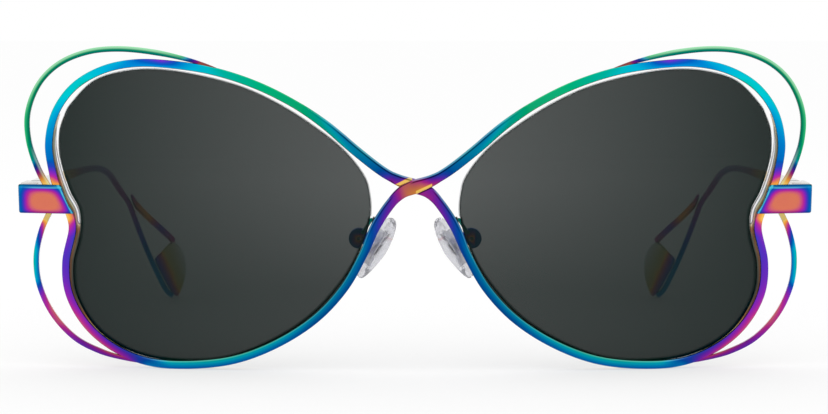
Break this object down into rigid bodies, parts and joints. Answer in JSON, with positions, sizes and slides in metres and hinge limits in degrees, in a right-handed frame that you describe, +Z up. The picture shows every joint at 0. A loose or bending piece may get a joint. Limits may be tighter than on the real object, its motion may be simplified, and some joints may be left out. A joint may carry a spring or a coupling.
{
  "type": "geometric sunglasses",
  "caption": "Sunglasses with a wire butterfly frame, crossed flat strands at the bridge, open wing wires, tinted lenses, clear nose pads and folding wire temples.",
  "frame": {"origin": "on the surface that the open frame stands on, midway between its front and the ends of its temples, on its middle plane", "axes": "+Z up, the front faces -Y, +X towards the wearer's left"},
  "size_m": [0.1508, 0.1452, 0.061],
  "materials": {
    "plated_strand": "rainbow plated, polished",
    "plated_wing": "rainbow plated, polished",
    "plated_plaque": "rainbow plated, polished",
    "plated_temple": "rainbow plated, polished",
    "plated_tip": "rainbow plated, polished",
    "gold_wire": "gold plated",
    "hinge_steel": "plated",
    "screw_steel": "bright",
    "tinted_lens": "dark grey-green tint, gloss",
    "clear_nylon": "clear",
    "clear_pad": "clear silicone"
  },
  "bodies": {
    "front": {"front_strand": "plated_strand", "rear_strand": "plated_strand", "left_upper_wing": "plated_wing", "left_lower_wing": "plated_wing", "left_lens_wire": "gold_wire", "left_lens_thread": "clear_nylon", "left_lens": "tinted_lens", "left_end_plaque": "plated_plaque", "left_end_piece": "hinge_steel", "left_hinge_screw": "screw_steel", "left_pad_arm": "gold_wire", "left_pad_box": "gold_wire", "left_pad_screw": "screw_steel", "right_upper_wing": "plated_wing", "right_lower_wing": "plated_wing", "right_lens_wire": "gold_wire", "right_lens_thread": "clear_nylon", "right_lens": "tinted_lens", "right_end_plaque": "plated_plaque", "right_end_piece": "hinge_steel", "right_hinge_screw": "screw_steel", "right_pad_arm": "gold_wire", "right_pad_box": "gold_wire", "right_pad_screw": "screw_steel"},
    "left_temple": {"left_hinge_leaf": "hinge_steel", "left_temple_arm": "plated_temple", "left_temple_branch": "plated_temple", "left_temple_tip": "plated_tip"},
    "right_temple": {"right_hinge_leaf": "hinge_steel", "right_temple_arm": "plated_temple", "right_temple_branch": "plated_temple", "right_temple_tip": "plated_tip"},
    "left_nose_pad_body": {"left_pad_core": "screw_steel", "left_nose_pad": "clear_pad"},
    "right_nose_pad_body": {"right_pad_core": "screw_steel", "right_nose_pad": "clear_pad"}
  },
  "joints": [
    {"name": "left_temple_fold", "type": "hinge", "parent": "front", "child": "left_temple", "pos_m": [0.0732, -0.05412, 0.0326], "axis": [0, 0, 1], "range_deg": [0, 84]},
    {"name": "right_temple_fold", "type": "hinge", "parent": "front", "child": "right_temple", "pos_m": [-0.0732, -0.05412, 0.0326], "axis": [0, 0, -1], "range_deg": [0, 80]},
    {"name": "left_pad_rock", "type": "hinge", "parent": "front", "child": "left_nose_pad_body", "pos_m": [0.0107, -0.06312, 0.0246], "axis": [0, 1, 0], "range_deg": [-10, 10]},
    {"name": "right_pad_rock", "type": "hinge", "parent": "front", "child": "right_nose_pad_body", "pos_m": [-0.0107, -0.06312, 0.0246], "axis": [0, 1, 0], "range_deg": [-10, 10]}
  ]
}
